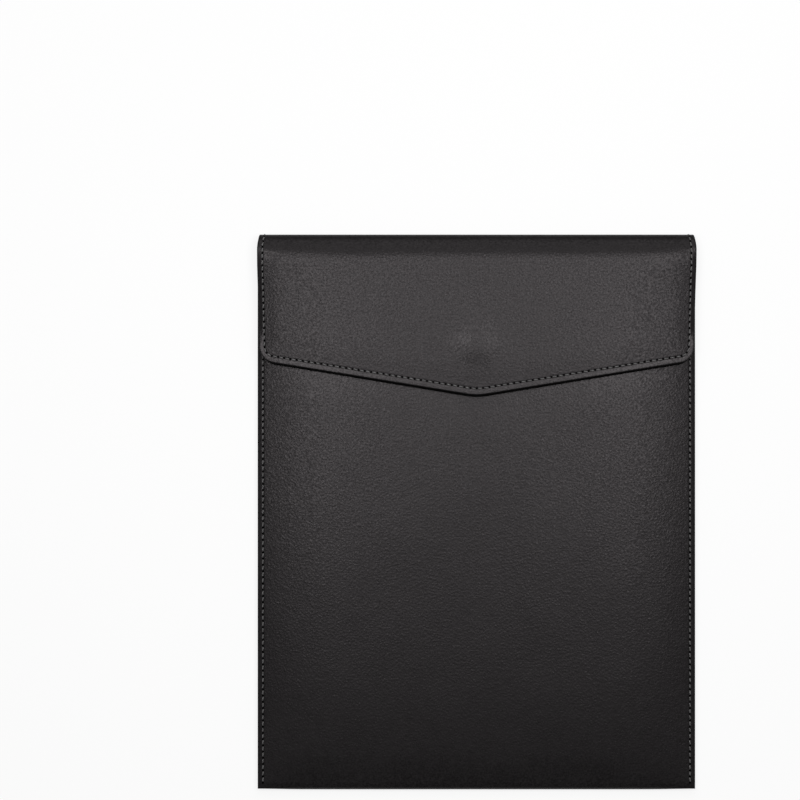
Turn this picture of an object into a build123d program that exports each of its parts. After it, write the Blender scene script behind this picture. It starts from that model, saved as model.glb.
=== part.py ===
# Document wallet: one leather strip folded at the bottom and at the top, lined, stiffened with boards,
# sewn along its two sides and closed by a flap with a magnetic snap.
# It lies on its back with the flap closed: X across, Y from the bottom fold to the top fold, Z up.
from build123d import *
import math
import os

# Overall sizes
width = 245.0
pocket_height = 301.0  # bottom fold to the shoulders of the front panel
mouth_drop = 9.7  # top fold down to those shoulders

# Sheets and boards
leather_thickness = 0.9
lining_thickness = 0.4
board_thickness = 1.0
facing_thickness = 0.9

# Pocket
pocket_gap = 4.6  # clear height between the two linings
seam_margin = 5.0  # flat flange that carries the side stitching
side_ramp = 17.5  # stretch over which front and back draw together beside the flange
board_clearance = 0.5  # around the edges of the front and back boards
back_board_inset = 2.0  # end of the back board below the mouth

# Thumb scoop in the mouth of the front panel
scoop_width = 168.8  # between the points where the flanks would meet the mouth
scoop_depth = 29.8
scoop_flank_angle = 42.6  # degrees from the mouth
scoop_shoulder_radius = 18.0
scoop_flank_straight = 10.0  # straight stretch between the shoulder and the floor curve

# Flap
flap_side_length = 70.2  # top fold to the side corners
flap_point_drop = 19.6  # side corners to the point
flap_corner_radius = 8.2
flap_point_radius = 36.0
flap_board_inset = 1.2  # board inside the cut edge of the flap
facing_drop = 7.7  # top fold to the edge of the facing

# Creases
crease_clearance = 0.15  # between the round edges of the spine and the sheets beside them

# Stitching
stitch_pitch = 3.5
needle_gap = 0.9  # between one stitch and the next
stitch_width = 0.6
stitch_height = 0.3
stitch_crown_share = 0.7
groove_clearance = 0.1  # on each side of a stitch in its groove
side_stitch_inset = 3.0  # from the side edges
flap_stitch_inset = 3.8  # from the pointed edge of the flap
seam_start = 1.0  # first stitch hole above the bottom fold

# Magnetic snap
snap_diameter = 14.0
snap_point_distance = 20.0  # snap centre to the point of the flap
snap_clearance = 0.15  # between the closed halves
cover_thickness = 0.3
magnet_thickness = 0.9
magnet_bore = 7.0
base_thickness = 0.3
magnet_clearance = 0.1  # between the magnet and the wall of its cover
stud_diameter = 5.0
stud_length = 1.2
stud_clearance = 0.4  # around the stud in the cover
plate_thickness = 0.45
washer_diameter = 12.0
washer_thickness = 0.4
washer_clearance = 0.3  # around the washers in the boards
washer_bore = 3.0
prong_spacing = 6.4
prong_width = 3.0
prong_thickness = 0.25
prong_reach = 2.2  # bent foot of a prong
slit_clearance = 0.15

# Cuts run past the faces by this much
overrun = 5.0

# Levels, from the table up
sheet_thickness = leather_thickness + lining_thickness
board_level = leather_thickness + board_thickness
pocket_thickness = 2 * (board_level + lining_thickness) + pocket_gap
seam_level = pocket_thickness / 2
margin_rise = seam_level - sheet_thickness
snap_case_height = base_thickness + magnet_thickness + cover_thickness
plate_level = pocket_thickness + snap_case_height + snap_clearance
facing_level = plate_level + plate_thickness
flap_board_level = facing_level + facing_thickness
flap_leather_level = flap_board_level + board_thickness
total_thickness = flap_leather_level + leather_thickness

# Places along Y
overall_height = pocket_height + mouth_drop
top_y = overall_height / 2
bottom_y = -top_y
mouth_y = top_y - mouth_drop
fold_y = bottom_y + seam_level
crease_radius = sheet_thickness / 2
crease_y = top_y - crease_radius
band_end_y = crease_y - crease_radius - crease_clearance
back_board_end_y = mouth_y - back_board_inset
facing_y = top_y - facing_drop
flap_corner_y = top_y - flap_side_length
flap_point_y = flap_corner_y - flap_point_drop
snap_y = flap_point_y + snap_point_distance

# Places along X
edge_x = width / 2
valley_x = edge_x - seam_margin
shoulder_x = valley_x - side_ramp
lift_x = shoulder_x + side_ramp * board_thickness / margin_rise  # where the back lining leaves its board
stitch_x = edge_x - side_stitch_inset

stitch_length = stitch_pitch - needle_gap
groove_width = stitch_width + 2 * groove_clearance
UP = Vector(0, 0, 1)
OUT = Vector(0, 1, 0)


# Building blocks

def prism_along_y(points, y_low, y_high):
    face = make_face(Polyline(*points, close=True))
    return extrude(Plane.XZ.offset(-y_high) * face, amount=y_high - y_low)


def prism_along_x(points, half_length):
    face = make_face(Polyline(*points, close=True))
    return extrude(Plane.YZ * face, amount=half_length, both=True)


def block(x_low, x_high, y_low, y_high, z_low, z_high):
    size = Box(x_high - x_low, y_high - y_low, z_high - z_low)
    return Pos((x_low + x_high) / 2, (y_low + y_high) / 2, (z_low + z_high) / 2) * size


def disc(diameter, z_low, z_high):
    return Pos(0, snap_y, (z_low + z_high) / 2) * Cylinder(diameter / 2, z_high - z_low)


def flipped(solid):
    return mirror(solid, about=Plane.XY.offset(seam_level))


# Spaces that the pocket's sheets lie between

def under_margins(raised):
    """Space below the back panel, which lifts towards the side seams."""
    far_x = edge_x + overrun
    crest = margin_rise + raised
    points = [
        (-far_x, -overrun), (-far_x, crest), (-valley_x, crest), (-shoulder_x, raised),
        (shoulder_x, raised), (valley_x, crest), (far_x, crest), (far_x, -overrun),
    ]
    return prism_along_y(points, fold_y - overrun, top_y + overrun)


def under_band(raised):
    """Space below a panel that comes down flat between the mouth and the crease."""
    crest = margin_rise + raised
    points = [
        (fold_y - overrun, -overrun), (fold_y - overrun, crest), (mouth_y, crest),
        (band_end_y, raised), (top_y + overrun, raised), (top_y + overrun, -overrun),
    ]
    return prism_along_x(points, edge_x + overrun)


def under_back(raised):
    return under_margins(raised) & under_band(raised)


def under_board(raised, y_end):
    return block(-valley_x, valley_x, fold_y - overrun, y_end, -overrun, board_level + raised)


def panel(upper, lower, y_high):
    """The sheet between two such spaces, from the bottom fold up to y_high."""
    plan = block(-edge_x, edge_x, fold_y, y_high, -overrun, total_thickness)
    return (upper - lower) & plan


def fold_space(half_height, flange_half_height, reach):
    """Rounded bottom of the pocket, drawn in to the side flanges."""
    far_x = edge_x + reach
    half = [
        (-far_x, flange_half_height), (-valley_x, flange_half_height), (-shoulder_x, half_height),
        (shoulder_x, half_height), (valley_x, flange_half_height), (far_x, flange_half_height),
    ]
    points = [(x, seam_level + z) for x, z in half] + [(x, seam_level - z) for x, z in reversed(half)]
    return prism_along_y(points, bottom_y - overrun, fold_y + reach)


def fold_round(radius):
    rod = Cylinder(radius, width + 2 * overrun, rotation=(0, 90, 0))
    return Pos(0, fold_y, seam_level) * rod


def above_mouth():
    """Everything past the upper edge of the front panel, with its thumb scoop."""
    flank_angle = math.radians(scoop_flank_angle)
    flank_run = scoop_depth / math.tan(flank_angle)
    flank_length = scoop_depth / math.sin(flank_angle)
    half_turn = math.tan(flank_angle / 2)
    floor_radius = (flank_length - scoop_flank_straight) / half_turn - scoop_shoulder_radius
    far_x = edge_x + overrun
    floor_y = mouth_y - scoop_depth
    floor_x = scoop_width / 2 - flank_run
    edge = FilletPolyline(
        (-far_x, mouth_y), (-scoop_width / 2, mouth_y), (-floor_x, floor_y),
        (floor_x, floor_y), (scoop_width / 2, mouth_y), (far_x, mouth_y),
        radius=[scoop_shoulder_radius, floor_radius, floor_radius, scoop_shoulder_radius],
    )
    far_y = top_y + overrun
    rest = Polyline((far_x, mouth_y), (far_x, far_y), (-far_x, far_y), (-far_x, mouth_y))
    return extrude(make_face([edge, rest]), amount=total_thickness)


# Stitching

def seam_plane(path, distance, up):
    along = path.tangent_at(distance, position_mode=PositionMode.LENGTH)
    normal = up - along * up.dot(along)
    origin = path.position_at(distance, position_mode=PositionMode.LENGTH)
    return Plane(origin=origin, x_dir=along, z_dir=normal)


def stitch():
    crown = stitch_length * stitch_crown_share
    points = [
        (-stitch_length / 2, 0), (-crown / 2, stitch_height),
        (crown / 2, stitch_height), (stitch_length / 2, 0),
    ]
    face = make_face(Polyline(*points, close=True))
    return extrude(Plane.XZ * face, amount=stitch_width / 2, both=True)


def stitch_row(path, up, sunk):
    """Stitches spread evenly along a path, lying on a face or sunk level with it."""
    count = int(path.length // stitch_pitch)
    step = path.length / count
    one = Pos(0, 0, -sunk) * stitch()
    return [seam_plane(path, (i + 1 / 2) * step, up) * one for i in range(count)]


def groove(path, up):
    bar = Box(path.length, groove_width, 2 * stitch_height)
    return seam_plane(path, path.length / 2, up) * bar


def flange_seam(side, level):
    start = (side * stitch_x, fold_y + seam_start, level)
    return Line(start, (side * stitch_x, mouth_y, level))


def band_seam(side, raised):
    start = (side * stitch_x, mouth_y, margin_rise + raised)
    return Line(start, (side * stitch_x, band_end_y, raised))


def spine_seam(side, y):
    low = (side * stitch_x, y, crease_radius)
    return Line(low, (side * stitch_x, y, total_thickness - crease_radius))


def flap_band_seam(side):
    level = flap_leather_level - lining_thickness
    return Line((side * stitch_x, band_end_y, level), (side * stitch_x, facing_y, level))


def side_seam_stitches(side):
    back_seam = flange_seam(side, margin_rise)
    front_seam = flange_seam(side, pocket_thickness - margin_rise)
    solids = stitch_row(front_seam, UP, stitch_height) + stitch_row(back_seam, -UP, stitch_height)
    solids += stitch_row(band_seam(side, sheet_thickness), UP, 0)
    solids += stitch_row(band_seam(side, 0), -UP, stitch_height)
    return Compound(solids)


def spine_stitches():
    solids = []
    for side in (-1, 1):
        solids += stitch_row(spine_seam(side, top_y), OUT, stitch_height)
        solids += stitch_row(spine_seam(side, crease_y - crease_radius), -OUT, 0)
    return Compound(solids)


# Pocket

def back_leather():
    sheet = panel(under_back(leather_thickness), under_back(0), band_end_y)
    for side in (-1, 1):
        sheet -= groove(flange_seam(side, margin_rise), -UP)
        sheet -= groove(band_seam(side, 0), -UP)
    return sheet


def back_board():
    side_x = shoulder_x - board_clearance
    y_low = fold_y + board_clearance
    y_high = back_board_end_y - board_clearance
    return block(-side_x, side_x, y_low, y_high, leather_thickness, board_level)


def back_lining_strip(x_low, x_high):
    upper = under_back(sheet_thickness)
    upper += under_board(lining_thickness, back_board_end_y + lining_thickness)
    lower = under_back(leather_thickness) + under_board(0, back_board_end_y)
    strip = block(x_low, x_high, fold_y, band_end_y, 0, seam_level)
    return panel(upper, lower, band_end_y) & strip


def back_lining():
    return back_lining_strip(-lift_x, lift_x)


def left_margin_lining():
    return back_lining_strip(-edge_x, -lift_x)


def right_margin_lining():
    return back_lining_strip(lift_x, edge_x)


def bottom_fold_leather():
    outer = fold_space(seam_level, sheet_thickness, 0) & fold_round(seam_level)
    inner_half = seam_level - leather_thickness
    inner = fold_space(inner_half, lining_thickness, overrun) & fold_round(inner_half)
    return outer - inner


def bottom_fold_lining():
    outer_half = seam_level - board_level
    inner_half = pocket_gap / 2
    sheet = fold_space(seam_level - leather_thickness, lining_thickness, 0) & fold_round(outer_half)
    flat = [
        (-valley_x, 0), (-shoulder_x, margin_rise), (shoulder_x, margin_rise),
        (valley_x, 0), (shoulder_x, -margin_rise), (-shoulder_x, -margin_rise),
    ]
    points = [(x, seam_level + z) for x, z in flat]
    inner = prism_along_y(points, bottom_y, fold_y + overrun) & fold_round(inner_half)
    return sheet - inner


def front_leather():
    sheet = flipped(panel(under_margins(leather_thickness), under_margins(0), mouth_y))
    sheet -= above_mouth()
    for side in (-1, 1):
        sheet -= groove(flange_seam(side, pocket_thickness - margin_rise), UP)
    return sheet - prong_slits(0, total_thickness)


def front_board():
    side_x = shoulder_x - board_clearance
    low = pocket_thickness - board_level
    high = pocket_thickness - leather_thickness
    board = block(-side_x, side_x, fold_y + board_clearance, mouth_y, low, high) - above_mouth()
    return board - disc(washer_diameter + 2 * washer_clearance, 0, total_thickness)


def front_lining():
    upper = under_margins(sheet_thickness) + under_board(lining_thickness, top_y)
    lower = under_margins(leather_thickness) + under_board(0, top_y)
    return flipped(panel(upper, lower, mouth_y)) - above_mouth()


# Spine

def spine_section(y_low, y_high):
    """Strip with round edges on the two crease axes, cut to one of its layers."""
    length = total_thickness - 2 * crease_radius
    strip = Box(width, sheet_thickness, length)
    for side in (-1, 1):
        edge = Cylinder(crease_radius, width, rotation=(0, 90, 0))
        strip += Pos(0, 0, side * length / 2) * edge
    layer = block(-edge_x, edge_x, y_low, y_high, 0, total_thickness)
    return Pos(0, crease_y, total_thickness / 2) * strip & layer


def spine_leather():
    sheet = spine_section(top_y - leather_thickness, top_y)
    for side in (-1, 1):
        sheet -= groove(spine_seam(side, top_y), OUT)
    return sheet


def spine_lining():
    return spine_section(top_y - sheet_thickness, top_y - leather_thickness)


# Flap

def flap_points(side_inset, edge_inset, root_y):
    """Corners of the flap from its root, round the point and back, drawn in by the insets."""
    slope = flap_point_drop / edge_x
    lift = edge_inset * math.hypot(1, slope)
    side_x = edge_x - side_inset
    point_y = flap_point_y + lift
    corner_y = point_y + slope * side_x
    return [(-side_x, root_y), (-side_x, corner_y), (0, point_y), (side_x, corner_y), (side_x, root_y)]


def flap_radii(inset):
    return [flap_corner_radius - inset, flap_point_radius - inset, flap_corner_radius - inset]


def flap_face(side_inset, edge_inset, root_y):
    points = flap_points(side_inset, edge_inset, root_y)
    radii = [0] + flap_radii(edge_inset) + [0]
    return make_face(FilletPolyline(*points, radius=radii, close=True))


def flap_plate(inset, root_y, z_low, z_high):
    return extrude(Pos(0, 0, z_low) * flap_face(inset, inset, root_y), amount=z_high - z_low)


def flap_seam(root_y, level):
    points = flap_points(side_stitch_inset, flap_stitch_inset, root_y)
    path = FilletPolyline(*points, radius=flap_radii(flap_stitch_inset))
    return Pos(0, 0, level) * path


def flap_groove(root_y, level):
    half = groove_width / 2
    outer = flap_face(side_stitch_inset - half, flap_stitch_inset - half, root_y)
    inner = flap_face(side_stitch_inset + half, flap_stitch_inset + half, root_y)
    ring = Pos(0, 0, level) * (outer - inner)
    return extrude(ring, amount=stitch_height, both=True)


def flap_leather():
    sheet = flap_plate(0, band_end_y, flap_leather_level, total_thickness)
    return sheet - flap_groove(band_end_y, total_thickness)


def flap_board():
    board = flap_plate(flap_board_inset, facing_y, flap_board_level, flap_leather_level)
    return board - disc(washer_diameter + 2 * washer_clearance, 0, total_thickness)


def flap_facing():
    sheet = flap_plate(0, facing_y, facing_level, flap_board_level)
    return sheet - flap_groove(facing_y, facing_level) - prong_slits(0, total_thickness)


def flap_lining():
    low = flap_leather_level - lining_thickness
    return block(-edge_x, edge_x, facing_y, band_end_y, low, flap_leather_level)


def flap_stitches():
    solids = stitch_row(flap_seam(band_end_y, total_thickness), UP, stitch_height)
    solids += stitch_row(flap_seam(facing_y, facing_level), -UP, stitch_height)
    for side in (-1, 1):
        solids += stitch_row(flap_band_seam(side), -UP, 0)
    return Compound(solids)


# Magnetic snap

def prong_slits(z_low, z_high):
    half_x = prong_thickness / 2 + slit_clearance
    half_y = prong_width / 2 + slit_clearance
    x = prong_spacing / 2
    left = block(-x - half_x, -x + half_x, snap_y - half_y, snap_y + half_y, z_low, z_high)
    return left + mirror(left, about=Plane.YZ)


def prongs(root_level, foot_level):
    """Two legs from root_level whose feet bend outward, ending at foot_level."""
    low, high = sorted((root_level, foot_level))
    foot_low = low if foot_level < root_level else high - prong_thickness
    y_low = snap_y - prong_width / 2
    y_high = snap_y + prong_width / 2
    x = prong_spacing / 2 - prong_thickness / 2
    leg = block(x, x + prong_thickness, y_low, y_high, low, high)
    foot = block(x, x + prong_reach, y_low, y_high, foot_low, foot_low + prong_thickness)
    right = leg + foot
    return right + mirror(right, about=Plane.YZ)


def washer(z_low, z_high):
    ring = disc(washer_diameter, z_low, z_high) - disc(washer_bore, z_low, z_high)
    return ring - prong_slits(z_low, z_high)


def socket_foot_level():
    return pocket_thickness - leather_thickness - washer_thickness - prong_thickness


def snap_socket_base():
    bore = snap_diameter - 2 * cover_thickness
    base = disc(bore, pocket_thickness, pocket_thickness + base_thickness)
    return base + prongs(pocket_thickness, socket_foot_level())


def snap_magnet():
    low = pocket_thickness + base_thickness
    outer = snap_diameter - 2 * cover_thickness - 2 * magnet_clearance
    return disc(outer, low, low + magnet_thickness) - disc(magnet_bore, low, low + magnet_thickness)


def snap_socket_cover():
    cavity_level = pocket_thickness + base_thickness + magnet_thickness
    top_level = pocket_thickness + snap_case_height
    cover = disc(snap_diameter, pocket_thickness, top_level)
    rim = cover.faces().sort_by(Axis.Z)[-1].edges()
    cover = fillet(rim, cover_thickness / 2)
    cover -= disc(snap_diameter - 2 * cover_thickness, 0, cavity_level)
    return cover - disc(stud_diameter + 2 * stud_clearance, 0, total_thickness)


def snap_socket_washer():
    high = pocket_thickness - leather_thickness
    return washer(high - washer_thickness, high)


def snap_stud():
    plate = disc(snap_diameter, plate_level, facing_level)
    rim = plate.faces().sort_by(Axis.Z)[0].edges()
    plate = fillet(rim, plate_thickness / 2)
    stud = disc(stud_diameter, plate_level - stud_length, plate_level)
    tip = stud.faces().sort_by(Axis.Z)[0].edges()
    stud = fillet(tip, stud_length / 2)
    foot_level = flap_board_level + washer_thickness + prong_thickness
    return plate + stud + prongs(facing_level, foot_level)


def snap_stud_washer():
    return washer(flap_board_level, flap_board_level + washer_thickness)


os.makedirs("parts", exist_ok=True)
nodes = {
    "back_leather": back_leather(),
    "back_board": back_board(),
    "back_lining": back_lining(),
    "left_margin_lining": left_margin_lining(),
    "right_margin_lining": right_margin_lining(),
    "bottom_fold_leather": bottom_fold_leather(),
    "bottom_fold_lining": bottom_fold_lining(),
    "front_leather": front_leather(),
    "front_board": front_board(),
    "front_lining": front_lining(),
    "left_seam_stitches": side_seam_stitches(-1),
    "right_seam_stitches": side_seam_stitches(1),
    "snap_socket_base": snap_socket_base(),
    "snap_magnet": snap_magnet(),
    "snap_socket_cover": snap_socket_cover(),
    "snap_socket_washer": snap_socket_washer(),
    "spine_leather": spine_leather(),
    "spine_lining": spine_lining(),
    "spine_stitches": spine_stitches(),
    "flap_leather": flap_leather(),
    "flap_board": flap_board(),
    "flap_facing": flap_facing(),
    "flap_lining": flap_lining(),
    "flap_stitches": flap_stitches(),
    "snap_stud": snap_stud(),
    "snap_stud_washer": snap_stud_washer(),
}
for name, solid in nodes.items():
    export_step(solid, f"parts/{name}.step")
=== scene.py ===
import math

import bpy
import numpy as np
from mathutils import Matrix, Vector, noise


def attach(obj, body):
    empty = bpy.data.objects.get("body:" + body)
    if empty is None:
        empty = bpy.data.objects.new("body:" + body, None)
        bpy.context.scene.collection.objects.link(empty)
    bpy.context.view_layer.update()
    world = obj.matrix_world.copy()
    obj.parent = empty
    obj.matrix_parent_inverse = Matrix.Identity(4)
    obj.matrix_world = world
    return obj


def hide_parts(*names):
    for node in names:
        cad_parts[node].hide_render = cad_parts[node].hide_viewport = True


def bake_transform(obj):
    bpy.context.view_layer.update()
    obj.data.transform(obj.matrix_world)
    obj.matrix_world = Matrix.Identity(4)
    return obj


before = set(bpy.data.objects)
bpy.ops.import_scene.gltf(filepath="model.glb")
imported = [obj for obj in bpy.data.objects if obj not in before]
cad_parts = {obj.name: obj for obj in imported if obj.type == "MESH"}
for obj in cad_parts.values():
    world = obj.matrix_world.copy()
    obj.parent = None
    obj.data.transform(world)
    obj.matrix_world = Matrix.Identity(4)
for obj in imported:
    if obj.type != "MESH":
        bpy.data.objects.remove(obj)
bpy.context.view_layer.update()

# Sizes in millimetres, in the frame of the solids.
MM = 0.001
HALF = 122.5            # half the width
TOP = 155.35            # outside of the top fold
FOLD_Y = -150.75        # where the bottom fold begins
MOUTH_Y = 145.65        # upper edge of the front panel beside the scoop
FRONT_Z = 9.2           # outside of the front panel
FLAP_Z = 14.1           # outside of the flap
FACING_Z = 11.3         # inside of the flap
FACING_Y = 147.65       # edge of the facing at the fold
SNAP_Y = 85.55
LEATHER = 0.9
LINING = 0.4
BOARD = 1.0
FLANGE_RISE = 3.3       # how far the side seams lie above the back
STITCH_INSET = 3.0      # stitches from the side edges
POINT_STITCH_INSET = 3.8  # and from the pointed edge
POINT_Y = 65.1          # lowest point of the flap
POINT_SLOPE = 19.6 / HALF  # rise of the pointed edge to the sides
ROOT_Y = 138.0          # where the flap's sheet takes over from the fold's
MID_Z = 7.0             # where the two halves of the spine meet
FOLD_A, FOLD_B = 15.0, 6.0  # half axes of the soft fold at the top
CREASE = 3.0            # radius of the fold at the back


def ramp(t):
    t = np.clip(t, 0.0, 1.0)
    return t * t * (3 - 2 * t)


def bell(t):
    return np.exp(-t * t)


# Shapes of the sheets

EDGE_ROUND = 0.60       # width of the rounded, painted edges
EDGE_DEPTH = 0.58
INNER_SHARE = 0.3       # an inner face draws back less than an outer one
ROUND_STEPS = [0.0, 0.03, 0.1, 0.22, 0.38, 0.54, EDGE_ROUND]
EDGE_INSETS = ROUND_STEPS + [1.1, 1.6, 2.15, 2.5, 2.75, 3.0, 3.25, 3.5, 3.85, 4.3, 4.8, 5.4, 6.0]
EDGE_BAND = 6.0         # width of the fine columns along each edge
MIDDLE_STEPS = 66


def rounding(d, depth):
    """How far a sheet's face draws back at distance d from its cut edge."""
    u = 1 - np.clip(d / EDGE_ROUND, 0, 1)
    return depth * (1 - np.sqrt(np.clip(1 - u * u, 0, 1)))


def drawn_insets(inset):
    """Insets of the fine columns where the edge itself lies at inset."""
    return [inset + d * (1 - inset / EDGE_BAND) for d in EDGE_INSETS]


def columns(inset):
    """X of a sheet's columns, with the sheet's edge drawn in by inset."""
    edge = drawn_insets(inset)
    inner = HALF - EDGE_BAND
    middle = [-inner + 2 * inner * i / MIDDLE_STEPS for i in range(1, MIDDLE_STEPS)]
    return np.array([-HALF + d for d in edge] + middle + [HALF - d for d in reversed(edge)])


SEWN_DEPTH, SEWN_WIDTH = 0.13, 0.36  # valley under the thread
DIP_DEPTH, DIP_WIDTH = 0.02, 1.2     # and the shallow dip round it


def sewn(r):
    """Depth of the valley that the thread pulls into the leather."""
    off = r - STITCH_INSET
    return SEWN_DEPTH * bell(off / SEWN_WIDTH) + DIP_DEPTH * bell(off / DIP_WIDTH)


def waves(x, y, seed):
    """Slow unevenness of a hand-worked panel."""
    flat = np.broadcast_arrays(np.asarray(x, float), np.asarray(y, float))
    out = [noise.noise(Vector((a / 55, b / 70, seed)))
           + 0.4 * noise.noise(Vector((a / 21, b / 26, seed + 9)))
           for a, b in zip(flat[0].ravel(), flat[1].ravel())]
    return np.array(out).reshape(flat[0].shape)


CLOSING, CLOSING_X, CLOSING_WIDTH = 0.38, 118.6, 3.9
SKIVED, SKIVED_WIDTH = 0.36, 2.7
LIFT_X, LIFT_WIDTH = 99.5, 18.5  # where the back starts to lift to the seams
DROP_X, DROP_WIDTH = 72, 48      # and the front panel to fall


def closing(x):
    """How far each face of a side seam bends towards the other outside the stitches."""
    return CLOSING * np.clip((np.abs(x) - CLOSING_X) / CLOSING_WIDTH, 0, 1) ** 1.4


def skived(r):
    """How much thinner the outer leather gets towards its cut edge, outside the stitches."""
    return SKIVED * np.clip((SKIVED_WIDTH - r) / SKIVED_WIDTH, 0, 1) ** 1.1


def back_lift(x):
    """How far the back lifts to the side seams."""
    return FLANGE_RISE * ramp((np.abs(x) - LIFT_X) / LIFT_WIDTH) + closing(x)


def front_drop(x):
    """How far the front panel falls away to the side seams."""
    u = np.clip((np.abs(x) - DROP_X) / DROP_WIDTH, 0, 1)
    return FLANGE_RISE * np.clip(u * u * (1 + 0.12 * (1 - u)), 0, 1) + closing(x)


def flange_share(x):
    """0 on the flat front panel, 1 at its side seams."""
    return np.clip(front_drop(x) / FLANGE_RISE, 0, 1)


def lift_share(x):
    """0 on the flat back, 1 at its side seams."""
    return np.clip(back_lift(x) / FLANGE_RISE, 0, 1)


SCOOP_DEPTH, SCOOP_HALF = 29.8, 84.4
SCOOP_ANGLE = math.radians(42.6)
SCOOP_SHOULDER, SCOOP_STRAIGHT = 18.0, 10.0  # upper radius, and the flank between the curves
SCOOP_TURN = math.tan(SCOOP_ANGLE / 2)
SCOOP_FLOOR = (SCOOP_DEPTH / math.sin(SCOOP_ANGLE) - SCOOP_STRAIGHT) / SCOOP_TURN - SCOOP_SHOULDER


def mouth(x):
    """Upper edge of the front panel, with the thumb scoop."""
    x = np.abs(np.asarray(x, float))
    floor_x = SCOOP_HALF - SCOOP_DEPTH / math.tan(SCOOP_ANGLE)
    flat_x = floor_x - SCOOP_FLOOR * SCOOP_TURN
    curve_x = flat_x + SCOOP_FLOOR * math.sin(SCOOP_ANGLE)
    top_x = SCOOP_HALF + SCOOP_SHOULDER * SCOOP_TURN
    bend_x = top_x - SCOOP_SHOULDER * math.sin(SCOOP_ANGLE)
    low = MOUTH_Y - SCOOP_DEPTH
    curve = low + SCOOP_FLOOR - np.sqrt(np.clip(SCOOP_FLOOR ** 2 - (x - flat_x) ** 2, 0, None))
    flank = MOUTH_Y - (SCOOP_HALF - x) * math.tan(SCOOP_ANGLE)
    bend = MOUTH_Y - SCOOP_SHOULDER + np.sqrt(np.clip(SCOOP_SHOULDER ** 2 - (top_x - x) ** 2, 0, None))
    y = np.where(x < flat_x, low, curve)
    y = np.where(x > curve_x, flank, y)
    y = np.where(x > bend_x, bend, y)
    return np.where(x > top_x, MOUTH_Y, y)


def near_mouth(x, y):
    """1 at the front panel's upper edge, 0 from 6 mm below it."""
    return ramp((6 - (mouth(x) - y)) / 5.5)


def front_slack(y):
    """How far the front panel sinks towards the bottom, slowly at first."""
    slow = 0.9 * np.clip((-95 - y) / 56, 0, 1) ** 2
    return slow + np.clip((-134 - y) / 17, 0, 1.1) ** 2.2


def front_top(x, y):
    """Outside of the front panel, slack towards the bottom and a little uneven."""
    inside = 1 - flange_share(x)
    calm = ramp((np.hypot(x, y - SNAP_Y) - 9) / 25)
    lip = 0.35 * near_mouth(x, y) * inside
    uneven = 0.16 * waves(x, y, 3.1) * inside * calm
    return FRONT_Z - front_drop(x) - front_slack(y) * inside - lip + uneven


def point_distance(x, y):
    """Distance from the pointed edge of the flap, negative below it."""
    return (y - POINT_Y - POINT_SLOPE * np.abs(x)) / math.hypot(1, POINT_SLOPE)


SAG, SAG_X = 2.6, 68.0  # hang of the flap's sides, and where it begins
SAG_TOP, SAG_LENGTH = 153, 33
POINT_TOP = 106         # where the side edges pass into the pointed one
BUMP_HEIGHT, BUMP_RADIUS = 0.62, 8.5
BUMP_OFFSET = 6.5       # the bump lies above the snap's axis


def flap_sag(x, y):
    """How far the flap hangs below its root at the sides."""
    out = np.clip((np.abs(x) - SAG_X) / (HALF - SAG_X), 0, 1)
    return SAG * out ** 2 * ramp((SAG_TOP - y) / SAG_LENGTH)


def flap_swell(x, y):
    """The snap shows through as a low bump, and the panel is a little uneven."""
    along = y - SNAP_Y - BUMP_OFFSET
    away = np.hypot(x * 0.8, np.where(along > 0, along * 0.62, along * 1.2))
    swell = BUMP_HEIGHT * np.exp(-(away / BUMP_RADIUS) ** 2.6)
    return swell + 0.14 * waves(x, y, 7.7) * ramp((148 - y) / 14) * ramp((away - 8) / 16)


def flap_pinch(r, y):
    """The flap sinks to its stitches. Outside them its point rises a little and its sides fall."""
    low = 0.24 * (1 - ramp((r - STITCH_INSET) / 9))
    point = ramp((POINT_TOP - y) / 12)
    along_point = 0.07 * ramp((STITCH_INSET - r) / 2.6)
    along_sides = -0.50 * ramp((STITCH_INSET + 0.5 - r) / 3.5)
    outside = along_point * point + along_sides * (1 - point)
    return (low - outside) * ramp((150 - y) / 8)


def flap_top(x, y, r):
    """Outside of the flap, at distance r from its edge."""
    return FLAP_Z - flap_sag(x, y) + flap_swell(x, y) - flap_pinch(r, y)


def flap_rub(x, y, r):
    """Where use has smoothed the flap: outside the stitches of its point, and above the snap."""
    strip_share = 0.9 * ramp((STITCH_INSET - 0.2 - r) / 0.7) * ramp((POINT_TOP - y) / 10)
    snap_share = 0.9 * np.exp(-((x + 3.0) / 11.0) ** 2 - ((y - SNAP_Y - 11.0) / 5.0) ** 2)
    return np.maximum(strip_share, snap_share)


CORNER_DRAW, CORNER_SPAN = 1.27, 51
END_DRAW, END_Y, END_SPAN = 1.1, 147.3, 8.05


def drawn_in(x, y):
    """X of a point after the flap's corners and the ends of the fold have drawn in."""
    corners = CORNER_DRAW * np.clip((ROOT_Y - y) / CORNER_SPAN, 0, 1.4)
    ends = END_DRAW * np.clip((y - END_Y) / END_SPAN, 0, 1) ** 1.6
    return x * (1 - (corners + ends) / HALF)


# Mesh builders

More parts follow.
